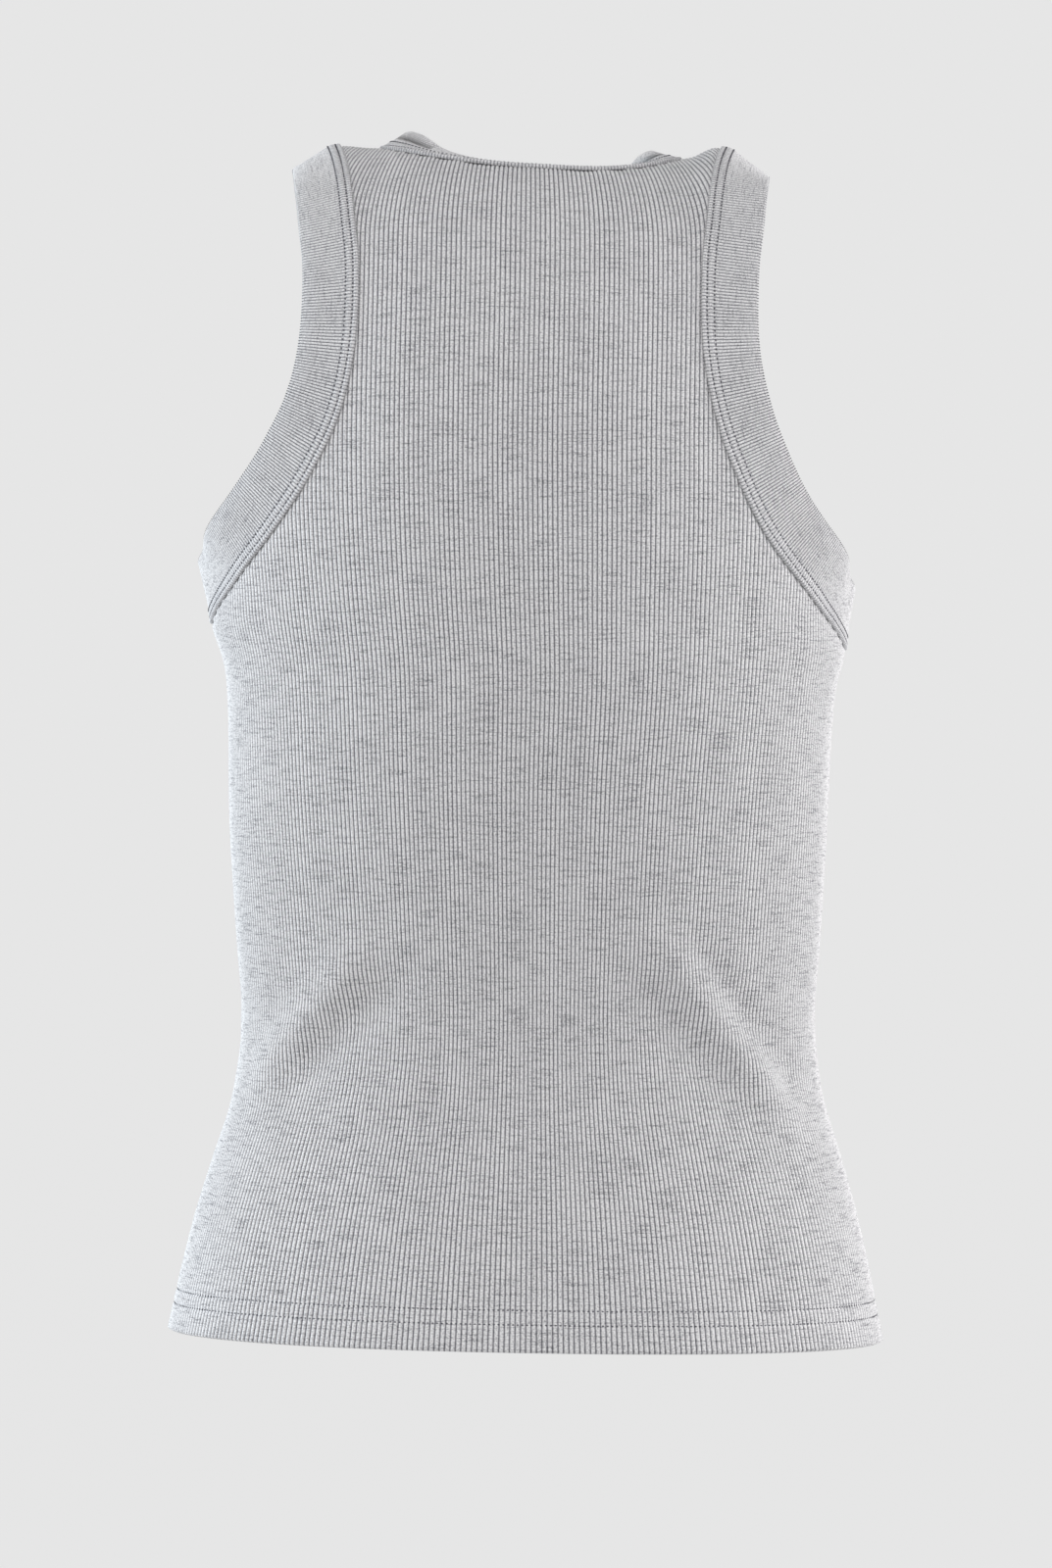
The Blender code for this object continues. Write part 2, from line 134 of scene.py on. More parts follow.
# Cloth and bands.
ARM_BAND_BEND, NECK_BAND_BEND = 9.0, 4.0  # a band turns to its own lean over this width
BEND_STEPS = 12
ARM_BAND_EVENED, NECK_BAND_EVENED = 24.0, 12.0  # a band's direction is evened out along this much seam
SEAM_AVERAGED = 10  # and over this many places to each side
ARMHOLE_CENTRE = (200.0, 0.0, -120.0)  # what the band on the left faces
NECK_CENTRE = (0.0, -25.0, 30.0)
# A band on an armhole: (share of the way round, width, lean). Share 0 is the shoulder, 0.25 is half way
# down the back and 0.5 is the underarm.
ARM_BAND = (
    (0.00, 25.5, -38.0),
    (0.06, 26.5, -15.0),
    (0.16, 27.0, 0.0),
    (0.30, 28.5, 5.0),
    (0.38, 29.5, 9.0),
    (0.43, 30.0, 12.5),
    (0.47, 30.5, 9.0),
    (0.50, 30.5, 4.0),
    (0.53, 30.5, 6.0),
    (0.58, 29.5, 8.0),
    (0.70, 28.5, 5.0),
    (0.84, 27.0, 0.0),
    (0.94, 26.5, -15.0),
    (1.00, 25.5, -38.0),
)
# The neckband, with the same columns. Share 0 is the left shoulder and 0.36 the right one.
NECK_BAND = (
    (0.00, 15.0, 32.0),
    (0.02, 15.8, 29.0),
    (0.045, 17.4, 14.0),
    (0.07, 18.5, -5.0),
    (0.12, 18.5, -20.0),
    (0.19, 18.5, -24.0),
    (0.26, 18.5, -25.0),
    (0.30, 18.5, -15.0),
    (0.325, 17.6, 5.0),
    (0.345, 16.0, 20.0),
    (0.36, 15.5, 25.0),
    (0.39, 16.0, 24.0),
    (0.45, 17.5, 17.0),
    (0.55, 18.5, 8.0),
    (0.68, 18.5, 2.0),
    (0.80, 18.5, 7.0),
    (0.90, 17.5, 19.0),
    (0.96, 15.8, 28.0),
    (0.99, 15.0, 32.0),
    (1.00, 15.0, 32.0),
)

# Folds in the cloth, each from one place to another: (side, x0, z0, x1, z1, width, rise).
FOLDS = (
    (BACK, -60.5, -373.0, -118.5, -450.5, 9.5, 5.2),
    (BACK, -72.5, -368.5, -130.0, -444.5, 7.0, -2.8),
    (BACK, -43.0, -388.0, -98.0, -444.0, 9.5, -3.2),
    (BACK, 78.0, -377.0, 126.0, -438.0, 8.5, 4.3),
    (BACK, 56.0, -382.0, 114.0, -441.0, 10.0, -3.0),
    (BACK, 46.0, -434.0, 88.0, -450.0, 8.0, 1.6),
    (FRONT, -60.0, -352.0, -118.0, -424.0, 11.0, 2.2),
    (FRONT, -46.0, -362.0, -104.0, -436.0, 11.0, -1.8),
    (FRONT, 62.0, -360.0, 124.0, -432.0, 11.0, -2.0),
    (FRONT, 80.0, -356.0, 130.0, -414.0, 10.0, 1.8),
)
FOLD_RISES_OVER, FOLD_FADES_OVER = 0.4, 0.45  # shares of a fold's length
FOLD_RUNS_ON = (0.15, 0.2)  # past its two ends

SEAM_SAMPLES = 600
SEAM_REACH = 10.0  # how far below a seam its distance is looked for
FAR_FROM_SEAMS = -50.0  # what stands for the distance further down
ABOVE_ALL = 1e3
TURN_STEP, HEIGHT_STEP = 1e-3, 0.5  # for the cloth's direction at a point

# The knit of the panels. A rib is a narrow groove, its two edges and the middle of the wale:
# (share of a rib, height).
PANEL_RIBS = 182
RIB_WIDTH = 2.2  # as cut
PANEL_WALE = ((0.0, -0.8), (0.19, -0.12), (0.5, 0.1), (0.81, -0.12))
BAND_RIB_WIDTH = 1.62
BAND_WALE = ((0.0, -0.6), (0.22, -0.06), (0.5, 0.1), (0.78, -0.06))
RIB_KEEPS_TURN = -150.0  # above this the ribs run straight over the shoulder
ROW_STEPS = ((-250.0, 7.0), (-130.0, 3.6), (100.0, 5.6))  # (up to this height, between rows)

# The hem, measured up from its edge.
HEM_ROWS = (
    *(0.0, 1.5, 4.0, 8.0),
    *(10.6, 11.4, 12.0, 12.6, 13.4, 15.2),
    *(17.0, 17.9, 18.5, 19.1, 20.0),
    *(22.0, 25.0),
)
HEM_STITCH_ROWS = (12.0, 18.5)
HEM_INSIDE = ((-0.7, -1.2), (0.0, -2.4), (9.0, -2.4), (18.0, -2.3), (19.0, -1.2))  # (up, height)
INSIDE_RELIEF = 0.6  # how much of the ribs shows inside
PRESSED, PRESSED_WIDTH = 0.7, 1.2  # how much flatter the ribs are along a row of stitches
MAP_RISE = 620.0  # the cloth map starts this far down
MAP_GAP = 40.0  # and the inside of the hem lies this far below it

# Stitches and seams.
STITCH_DIP = 0.4
STITCH_DIP_WIDTH = 0.75
STITCH_STEP = 2.15
STITCH_SIZE = (0.62, 0.46, 0.28)  # half its length, width and height
STITCH_AHEAD = 0.3  # how far along its row a stitch takes its direction
HEM_STITCH_DEPTH = 0.42
BAND_STITCH_ROWS = (2.7, 6.2)
BAND_STITCH_HEIGHT = 0.66
SEAM_DIP = 0.7
SEAM_DIP_WIDTH = 1.1
TUCK = 1.4  # how far a panel's edge sinks under a band
TUCK_WIDTH = 1.5

# Across a band: (distance, height, how much of the rib shows). The face and the back are measured from
# the seam, and the fold back from its own end.
BAND_FACE = (
    (0.2, -0.6, 0.0),
    (0.25, 0.5, 0.0),
    (0.7, 0.95, 0.1),
    (1.8, 0.98, 0.3),
    (2.3, 0.6, 0.1),
    (2.7, 0.38, 0.0),
    (3.1, 0.6, 0.1),
    (3.8, 0.82, 0.25),
    (5.0, 0.8, 0.3),
    (5.8, 0.5, 0.2),
    (6.2, 0.25, 0.1),
    (6.6, 0.38, 0.5),
    (7.5, 0.34, 1.0),
    (9.5, 0.24, 1.0),
)
BAND_FOLD = (
    (9.0, 0.2, 1.0),
    (1.2, 0.2, 1.0),
    (0.35, -0.25, 1.5),
    (0.0, -1.0, 1.5),
    (0.35, -1.75, 1.5),
    (1.2, -2.2, 1.0),
)
BAND_BACK = (
    (12.0, -2.2, 1.0),
    (7.0, -2.2, 1.0),
    (6.2, -2.3, 0.2),
    (3.5, -2.1, 0.2),
    (0.8, -1.6, 0.0),
    (-0.5, -0.4, 0.0),
)
BAND_MIDDLE = -0.9  # the ribs of what is lower than this point the other way
CLOSED_WITHIN = 1e-7  # metres


def smooth(t):
    """An even step from 0 to 1."""
    t = np.clip(t, 0.0, 1.0)
    return t * t * (3 - 2 * t)


def read(table, at, column=1):
    """A smooth curve through one column of a table, read at a place in its first column."""
    rows = np.array(sorted(table), float)
    xs, ys = rows[:, 0], rows[:, column]
    slopes = np.gradient(ys, xs)
    at = np.clip(np.asarray(at, float), xs[0], xs[-1])
    i = np.clip(np.searchsorted(xs, at) - 1, 0, len(xs) - 2)
    step = xs[i + 1] - xs[i]
    t = (at - xs[i]) / step
    near = (1 + 2 * t) * (1 - t) ** 2 * ys[i] + t * (1 - t) ** 2 * step * slopes[i]
    far = t * t * (3 - 2 * t) * ys[i + 1] - t * t * (1 - t) * step * slopes[i + 1]
    return near + far


def drawn_in(height):
    """How much narrower the cloth is towards the top of the shoulders."""
    return 1 - DRAWN_IN * smooth((height - DRAWN_FROM) / (DRAWN_TO - DRAWN_FROM))


def ridge_height(side):
    """The height along the cloth at which a panel reaches the shoulder seam."""
    start = ARC_START[side]
    return start - start * math.pi / 2


def flare(turn, height):
    """How far the cloth stands out under the arms."""
    underarm = ARMHOLE[-1][0] - np.where(np.cos(turn) < 0, RIGHT_DROP, 0.0)
    near_seam = np.exp(-((np.minimum(turn, math.pi - turn) / FLARE_TURN) ** 2))
    return FLARE * near_seam * np.exp(-(((height - underarm) / FLARE_HEIGHT) ** 2))


def bare_cloth(side, turn, height):
    """The outer face without folds."""
    half_width = read(BODY, height, 1)
    depth = read(BODY, height, 2 if side == BACK else 3)
    cos, sin = np.cos(turn), np.abs(np.sin(turn))
    x = half_width * np.sign(cos) * np.abs(cos) ** (2 / SECTION_POWER) * drawn_in(height)
    x = x + np.sign(cos) * flare(turn, height)
    y = depth * sin ** (2 / SECTION_POWER)
    start = ARC_START[side]
    lean = np.clip((height - start) / -start, 0.0, math.pi / 2)
    top = read(RIDGE, x) - start
    z = np.where(height > start, start + top * np.sin(lean), height)
    z = z + HEM_TILT * x / BODY[0][1] * smooth((HEM_TILT_FROM - height) / (HEM_TILT_FROM - BODY[0][0]))
    return np.stack([x + read(SWAY, height), side * y * np.cos(lean), z], axis=-1)


def normal_of(surface, side, turn, height):
    """The direction out of a surface, from small steps along it."""
    turn = np.clip(turn, 2 * TURN_STEP, math.pi - 2 * TURN_STEP)
    height = np.minimum(height, ridge_height(side) - 2 * HEIGHT_STEP)
    across = surface(side, turn + TURN_STEP, height) - surface(side, turn - TURN_STEP, height)
    up = surface(side, turn, height + HEIGHT_STEP) - surface(side, turn, height - HEIGHT_STEP)
    out = np.cross(across, up) * side
    return out / np.linalg.norm(out, axis=-1, keepdims=True)


def fold_rise(side, point):
    """How far the folds lift the cloth at a point."""
    rise = np.zeros(point.shape[:-1])
    for fold_side, x0, z0, x1, z1, width, height in FOLDS:
        if fold_side != side:
            continue
        run = np.array([x1 - x0, z1 - z0])
        from_start = point[..., [0, 2]] - np.array([x0, z0])
        along = from_start @ run / (run @ run)
        off = (from_start @ np.array([run[1], -run[0]])) / np.linalg.norm(run)
        start = smooth((along + FOLD_RUNS_ON[0]) / FOLD_RISES_OVER)
        ends = start * smooth((1 + FOLD_RUNS_ON[1] - along) / FOLD_FADES_OVER)
        rise += height * ends * np.exp(-((off / width) ** 2))
    return rise


def cloth(side, turn, height):
    """The outer face of a panel."""
    point = bare_cloth(side, turn, height)
    return point + normal_of(bare_cloth, side, turn, height) * fold_rise(side, point)[..., None]


def turn_at(x, height):
    """The turn of the cloth at a distance x from the centre line."""
    share = np.clip(np.abs(x) / (read(BODY, height, 1) * drawn_in(height)), 0.0, 1.0)
    return np.arccos(np.sign(x) * share ** (SECTION_POWER / 2))


def evenly(points, path, shares):
    """Rows of points, read at shares of the length of the path that they follow."""
    steps = np.linalg.norm(np.diff(path, axis=0), axis=1)
    along = np.concatenate([[0.0], np.cumsum(steps)])
    at = shares * along[-1]
    return np.stack([np.interp(at, along, points[:, k]) for k in range(points.shape[1])], axis=1)


def armhole_line(side, hand):
    """(turn, height) closely along an armhole seam, from the underarm up. Hand is 1 on the left."""
    rows = np.array(ARMHOLE)
    row = np.linspace(len(rows) - 1.0, 0.0, SEAM_SAMPLES)
    z = np.interp(row, range(len(rows)), rows[:, 0])
    start = ARC_START[side]
    leaning = start - start * np.arcsin(np.clip((z - start) / -start, -1.0, 1.0))
    height = np.where(z > start, leaning, z)
    turn = turn_at(hand * read(ARMHOLE, z), height)
    turn[0] = 0.0 if hand > 0 else math.pi
    if hand < 0:
        height = height - RIGHT_DROP * smooth((z - RIGHT_DROP_FROM) / (RIGHT_DROP_TO - RIGHT_DROP_FROM))
    return turn, height


def bump(distance, width):
    """A soft bump, 1 at its middle."""
    return np.exp(-((distance / width) ** 2))


def rib_turns(side, shares, heights):
    """The turn of each rib at each height: every rib takes the same share of the way round."""
    turns = np.linspace(0.0, math.pi, SEAM_SAMPLES)
    rows = []
    for height in heights:
        level = np.full(SEAM_SAMPLES, min(height, RIB_KEEPS_TURN))
        x = read(BODY, level, 1) * np.sign(np.cos(turns)) * np.abs(np.cos(turns)) ** (2 / SECTION_POWER)
        y = read(BODY, level, 2 if side == BACK else 3) * np.sin(turns) ** (2 / SECTION_POWER)
        along = np.concatenate([[0.0], np.cumsum(np.hypot(np.diff(x), np.diff(y)))])
        rows.append(np.interp(shares * along[-1], along, turns))
    return np.array(rows)


def neck_line(side):
    """(turn, height) closely along a neck seam, from the left shoulder to the right one."""
    angle = np.linspace(0.0, math.pi, SEAM_SAMPLES)
    height = ridge_height(side) - NECK_DROP[side] * np.sin(angle) ** NECK_ROUND[side]
    across = np.sign(np.cos(angle)) * np.abs(np.cos(angle)) ** NECK_ROUND[side]
    return turn_at(NECK_HALF_WIDTH * across, height), height


def past_seams(side, turn, height, points):
    """How far each point lies past the nearest armhole or neck seam. It is negative on the panel."""
    neck = neck_line(side)
    beyond_neck = height > np.interp(turn, neck[0], neck[1], left=ABOVE_ALL, right=ABOVE_ALL)
    half = {1: turn < math.pi / 2, -1: turn > math.pi / 2}
    worst = np.full(turn.shape, FAR_FROM_SEAMS)
    for hand, line in ((1, armhole_line(side, 1)), (-1, armhole_line(side, -1)), (0, neck)):
        seam = cloth(side, *line)
        tree = KDTree(len(seam))
        for k, place in enumerate(seam):
            tree.insert(place, k)
        tree.balance()
        if hand:
            seam_turn = np.interp(height, line[1], np.abs(line[0] - math.pi / 2))
            out = half[hand] & (np.abs(turn - math.pi / 2) > seam_turn)
            out &= height > line[1][0]
        else:
            out = beyond_neck
        near = (height > line[1].min() - SEAM_REACH) & (half[hand] if hand else True)
        for place in np.argwhere(near):
            place = tuple(place)
            distance = tree.find(points[place])[2]
            worst[place] = max(worst[place], distance if out[place] else -distance)
    return worst


def grid_mesh(name, points, places, keep=None, closed=False):
    """A grid carried onto rows and columns of points, with its cloth map and only the faces to keep."""
    rows, columns = points.shape[:2]
    bm = bmesh.new()
    bmesh.ops.create_grid(bm, x_segments=rows - 1, y_segments=columns - 1, size=0.5)
    bm.verts.ensure_lookup_table()
    row_of, column_of = [], []
    for vert in bm.verts:
        row_of.append(round((vert.co.x + 0.5) * (rows - 1)))
        column_of.append(round((vert.co.y + 0.5) * (columns - 1)))
    for vert, row, column in zip(bm.verts, row_of, column_of):
        vert.co = points[row, column] * MM
    cloth_map = bm.loops.layers.uv.new("cloth")
    for face in bm.faces:
        for corner in face.loops:
            k = corner.vert.index
            corner[cloth_map].uv = places[row_of[k], column_of[k]] * MM
    if keep is not None:
        gone = [not keep[row, column] for row, column in zip(row_of, column_of)]
        cut_away = [face for face in bm.faces if all(gone[vert.index] for vert in face.verts)]
        bmesh.ops.delete(bm, geom=cut_away, context="FACES")
    if closed:
        bmesh.ops.remove_doubles(bm, verts=bm.verts, dist=CLOSED_WITHIN)
    return mesh_object(name, bm)


def mesh_object(name, bm):
    mesh = bpy.data.meshes.new(name)
    bm.to_mesh(mesh)
    bm.free()
    mesh.shade_smooth()
    made = bpy.data.objects.new(name, mesh)
    bpy.context.scene.collection.objects.link(made)
    return made


def dressed(piece, material, slot, *nodes):
    """A piece in its material, carried by the garment in place of the plain nodes."""
    piece.data.materials.append(material)
    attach(piece, "root")
    if nodes:
        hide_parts(*nodes)
    return piece


def panel_heights(side):
    """The height of each row of points: close together at the hem and beside the underarms."""
    heights = [BODY[0][0] + row for row in HEM_ROWS]
    for top, step in ROW_STEPS:
        top = min(top, ridge_height(side))
        count = round((top - heights[-1]) / step)
        heights += list(np.linspace(heights[-1], top, count + 1)[1:])
    return np.array(heights)


def make_panel(name, side):
    """The back or front: ribbed cloth with a turned-in hem, sunk a little under its bands."""
    wale = np.array(PANEL_WALE)
    columns = np.append((np.arange(PANEL_RIBS)[:, None] + wale[:, 0]).ravel(), PANEL_RIBS)
    relief = np.append(np.tile(wale[:, 1], PANEL_RIBS), wale[0, 1])
    low = BODY[0][0]
    heights = panel_heights(side)
    turn = rib_turns(side, columns / PANEL_RIBS, heights)
    height = np.broadcast_to(heights[:, None], turn.shape)
    points = cloth(side, turn, height)
    outward = normal_of(cloth, side, turn, height)
    past = past_seams(side, turn, height, points)
    above_rows = [height - low - row for row in HEM_STITCH_ROWS]
    pressed = sum(bump(above, PRESSED_WIDTH) for above in above_rows) * PRESSED
    over = relief * (1 - pressed)
    over = over - sum(STITCH_DIP * bump(above, STITCH_DIP_WIDTH) for above in above_rows)
    edge = np.minimum(columns, PANEL_RIBS - columns) * RIB_WIDTH
    over = over - SEAM_DIP * bump(edge, SEAM_DIP_WIDTH)
    over = over - SEAM_DIP * bump(height - ridge_height(side), SEAM_DIP_WIDTH)
    over = over - TUCK * smooth((past + TUCK_WIDTH) / (2 * TUCK_WIDTH))
    inside = np.array(HEM_INSIDE)[::-1]
    face = points + outward * over[..., None]
    turned = [
        cloth(side, turn[0], height[0] + rise)
        + normal_of(cloth, side, turn[0], height[0] + rise)
        * (depth + relief * INSIDE_RELIEF)[:, None]
        for rise, depth in inside
    ]
    face = np.concatenate([np.array(turned), face])
    face[..., 1] = side * np.maximum(side * face[..., 1], 0.0)
    up = np.concatenate([inside[:, 0] * -1 + low - MAP_GAP, heights])
    places = np.stack(np.broadcast_arrays(columns * RIB_WIDTH, up[:, None] + MAP_RISE), axis=-1)
    keep = np.concatenate([np.ones((len(inside), len(columns)), bool), past < TUCK_WIDTH])
    return grid_mesh(name, face, places, keep)


def evened(directions, places, reach):
    """Directions along a closed loop, averaged with the ones near them."""
    steps = np.linalg.norm(places - np.roll(places, 1, axis=0), axis=1)
    along = np.cumsum(steps)
    apart = np.abs(along[:, None] - along)
    apart = np.minimum(apart, along[-1] - apart)
    share = np.exp(-((apart / reach) ** 2)) * (steps + np.roll(steps, -1))
    return share @ directions


def seam_path(seams, steps, centre, reach):
    """Evenly spaced places, outward directions and directions into the hole, right round its seam."""
    places, outs = [], []
    for side, (turn, height), count in zip((BACK, FRONT), seams, steps):
        line = np.stack([turn, height], axis=1)
        at = evenly(line, cloth(side, turn, height), np.linspace(0.0, 1.0, count + 1)[:-1])
        places.append(cloth(side, at[:, 0], at[:, 1]))
        outs.append(normal_of(cloth, side, at[:, 0], at[:, 1]))
    places, outs = np.concatenate(places), np.concatenate(outs)
    outs = round_average(outs)
    ahead = round_average(np.roll(places, -1, axis=0) - np.roll(places, 1, axis=0))
    into = np.cross(ahead, outs)
    into *= np.sign(((np.array(centre) - places) * into).sum(axis=1, keepdims=True))
    into = evened(into / np.linalg.norm(into, axis=1, keepdims=True), places, reach)
    into -= outs * (into * outs).sum(axis=1, keepdims=True)
    return places, outs, into / np.linalg.norm(into, axis=1, keepdims=True)


def round_average(rows):
    """Directions smoothed along a closed loop."""
    total = sum(np.roll(rows, k, axis=0) for k in range(-SEAM_AVERAGED, SEAM_AVERAGED + 1))
    return total / np.linalg.norm(total, axis=1, keepdims=True)


def on_band(path, table, bend, shares, distance, over):
    """Points of a band: it leaves the panel flush, and turns to its lean over the width of the bend."""
    place, out, into = (part[:, None, :] for part in path)
    lean = np.radians(read(table, shares, 2))[:, None]
    at = np.broadcast_to(place, distance.shape + (3,)).copy()
    for k in range(BEND_STEPS):
        angle = (lean * smooth((k + 0.5) / BEND_STEPS * distance / bend))[..., None]
        at = at + (into * np.cos(angle) + out * np.sin(angle)) * (distance / BEND_STEPS)[..., None]
    angle = (lean * smooth(distance / bend))[..., None]
    return at + (out * np.cos(angle) - into * np.sin(angle)) * over[..., None]


def along_share(places):
    """How far round a closed loop each place lies, as a share, and the loop's length."""
    steps = np.linalg.norm(places - np.roll(places, 1, axis=0), axis=1)
    return (np.cumsum(steps) - steps[0]) / steps.sum(), steps.sum()


def band_section(widths):
    """(distance, height, rib) across a band for each of its widths."""
    rows = []
    for distance, over, rib in BAND_FACE:
        rows.append((np.full(widths.shape, distance), over, rib))
    for distance, over, rib in BAND_FOLD:
        rows.append((widths - distance, over, rib))
    for distance, over, rib in BAND_BACK:
        rows.append((np.full(widths.shape, distance), over, rib))
    distances, overs, ribs = zip(*rows)
    return np.stack(distances, axis=1), np.array(overs), np.array(ribs)


def make_band(name, seams, centre, reach, table, bend):
    """A folded rib band with its ribs across it, and the path of its seam."""
    wale = np.array(BAND_WALE)
    ribs = []
    for side, seam in zip((BACK, FRONT), seams):
        length = np.linalg.norm(np.diff(cloth(side, *seam), axis=0), axis=1).sum()
        ribs.append(round(length / BAND_RIB_WIDTH))
    steps = [len(wale) * count for count in ribs]
    path = seam_path(seams, steps, centre, reach)
    shares, _ = along_share(path[0])
    distance, over, rib = band_section(read(table, shares, 1))
    relief = np.tile(wale[:, 1], sum(ribs))
    over = over + relief[:, None] * rib * np.where(over < BAND_MIDDLE, -1, 1)
    points = on_band(path, table, bend, shares, distance, over)
    points = np.concatenate([points, points[:1]])
    along = np.append(np.arange(sum(steps)), sum(steps)) / len(wale) * RIB_WIDTH
    apart = np.hypot(np.diff(distance[0]), np.diff(over[0]))
    across = np.cumsum(np.concatenate([[0.0], apart]))
    places = np.stack(np.broadcast_arrays(along[:, None], across), axis=-1)
    return grid_mesh(name, points, places, closed=True), path


def stitches(name, rows):
    """Small stitches laid end to end, from rows of (places, outward directions)."""
    bm = bmesh.new()
    for places, outs in rows:
        steps = np.linalg.norm(np.roll(places, -1, axis=0) - places, axis=1)
        along = np.concatenate([[0.0], np.cumsum(steps)])
        count = round(along[-1] / STITCH_STEP)
        at = (np.arange(count) + 0.5) / count * along[-1]
        closed = np.concatenate([places, places[:1]])
        closed_outs = np.concatenate([outs, outs[:1]])
        middle, out, ahead = (
            np.stack([np.interp(at + shift, along, part[:, k]) for k in range(3)], axis=1)
            for part, shift in ((closed, 0.0), (closed_outs, 0.0), (closed, STITCH_AHEAD))
        )
        for place, normal, front in zip(middle, out, ahead):
            x = Vector(front - place).normalized()
            z = Vector(normal).normalized()
            y = z.cross(x).normalized()
            sides = [axis * size for axis, size in zip((x, y, x.cross(y)), STITCH_SIZE)]
            matrix = (Matrix(sides).transposed() * MM).to_4x4()
            matrix.translation = Vector(place) * MM
            bmesh.ops.create_icosphere(bm, subdivisions=1, radius=1.0, matrix=matrix)
    return mesh_object(name, bm)


def band_stitch_rows(path, table, bend):
    """Right round a band, at the distance of each stitch row from its seam."""
    shares, _ = along_share(path[0])
    rows = []
    for row in BAND_STITCH_ROWS:
        distance = np.full((len(shares), 1), row)
        over = np.full(distance.shape, BAND_STITCH_HEIGHT)
        rows.append((on_band(path, table, bend, shares, distance, over)[:, 0], path[1]))
    return rows


def hem_stitch_rows():
    """Right round the hem, at the height of each stitch row."""
    rows = []
    for row in HEM_STITCH_ROWS:
        height = np.full(SEAM_SAMPLES, BODY[0][0] + row)
        turn = np.linspace(0.0, math.pi, SEAM_SAMPLES)
        back, front = cloth(BACK, turn, height)[:-1], cloth(FRONT, turn[::-1], height)[:-1]
        back_out = normal_of(cloth, BACK, turn, height)[:-1]
        front_out = normal_of(cloth, FRONT, turn[::-1], height)[:-1]
        outs = np.concatenate([back_out, front_out])
        rows.append((np.concatenate([back, front]) - outs * HEM_STITCH_DEPTH, outs))
    return rows


# Materials. Each noise of the yarn: its turns in a millimetre across and up the ribs, its detail and
# roughness, and the range that it is read over.
GRAIN = ((1.05, 1.6), 4.0, 0.75, (0.28, 0.74, -0.5, 0.5))
CLOUDS = ((0.03, 0.045), 2.0, 0.5, (0.25, 0.75, -0.05, 0.05))
LONG_STREAKS = ((0.07, 1.0), 3.0, 0.55, (0.47, 0.70, -0.07, 0.62))
SHORT_STREAKS = ((0.22, 1.1), 2.0, 0.5, (0.5, 0.76, -0.03, 0.28))
DARK_SHARE = 0.22  # of the fibres, before the noises
GRAIN_STRENGTH = 1.35
LIGHT_YARN = (0.64, 0.64, 0.645, 1.0)
DARK_YARN = (0.23, 0.23, 0.245, 1.0)
# The colour that the grooves are darkened towards: painted shade, standing for the shadow down between
# the ribs.
PAINTED_GROOVE_SHADE = (0.24, 0.24, 0.27, 1.0)
LOOP_HEIGHT = 1.25  # millimetres of rib that one loop takes
LOOP_RELIEF = 0.12
FUZZ_STRENGTH, FUZZ_HEIGHT = 0.35, 0.0003
KNIT_FINISH = (("Roughness", 0.92), ("Sheen Weight", 0.03), ("Specular IOR Level", 0.25))
# Darker than the grey of the real thread: this colour also stands for the painted shade in the stitch
# holes.
THREAD_WITH_PAINTED_SHADE = (0.085, 0.085, 0.1, 1.0)
THREAD_ROUGHNESS = 0.7
THREAD_DARKER = 0.7
THREAD_TWIST = (900.0, 900.0, 900.0)  # turns in a metre


def add(tree, kind, values=None, **settings):
    """A node with its settings, and its inputs set to values or linked to sockets."""
    made = tree.nodes.new("ShaderNode" + kind)
    for key, value in settings.items():
        setattr(made, key, value)
    for key, value in (values or {}).items():
        if isinstance(value, bpy.types.NodeSocket):
            tree.links.new(value, made.inputs[key])
        else:
            made.inputs[key].default_value = value
    return made


def maths(tree, operation, *values):
    """One sum, on numbers or sockets."""
    return add(tree, "Math", dict(enumerate(values)), operation=operation).outputs[0]


def mixed(tree, factor, first, second, blend_type="MIX"):
    """Two colours mixed."""
    made = add(tree, "Mix", {0: factor, 6: first, 7: second}, data_type="RGBA", blend_type=blend_type)
    return made.outputs[2]


def ranged(tree, value, low, high, to_low, to_high):
    """A value that goes softly from to_low to to_high as it passes from low to high."""
    values = {"Value": value, "From Min": low, "From Max": high, "To Min": to_low, "To Max": to_high}
    return add(tree, "MapRange", values, interpolation_type="SMOOTHSTEP").outputs[0]


def scaled(tree, vector, x, y):
    return add(tree, "Mapping", {"Vector": vector, "Scale": (x, y, 1.0)}).outputs[0]


def noise(tree, vector, detail, roughness):
    values = {"Vector": vector, "Scale": 1.0, "Detail": detail, "Roughness": roughness}
    return add(tree, "TexNoise", values, noise_dimensions="2D").outputs[0]


def yarn_noise(tree, place, finish):
    """One noise of the yarn, plain and read over its range."""
    size, detail, roughness, spread = finish
    plain = noise(tree, scaled(tree, place, *size), detail, roughness)
    return plain, ranged(tree, plain, *spread)


def new_group(name, inputs, outputs):
    """A group of nodes with its sockets, and its start and end."""
    group = bpy.data.node_groups.new(name, "ShaderNodeTree")
    for socket, kind in inputs:
        group.interface.new_socket(name=socket, in_out="INPUT", socket_type="NodeSocket" + kind)
    for socket, kind in outputs:
        group.interface.new_socket(name=socket, in_out="OUTPUT", socket_type="NodeSocket" + kind)
    return group, group.nodes.new("NodeGroupInput"), group.nodes.new("NodeGroupOutput")


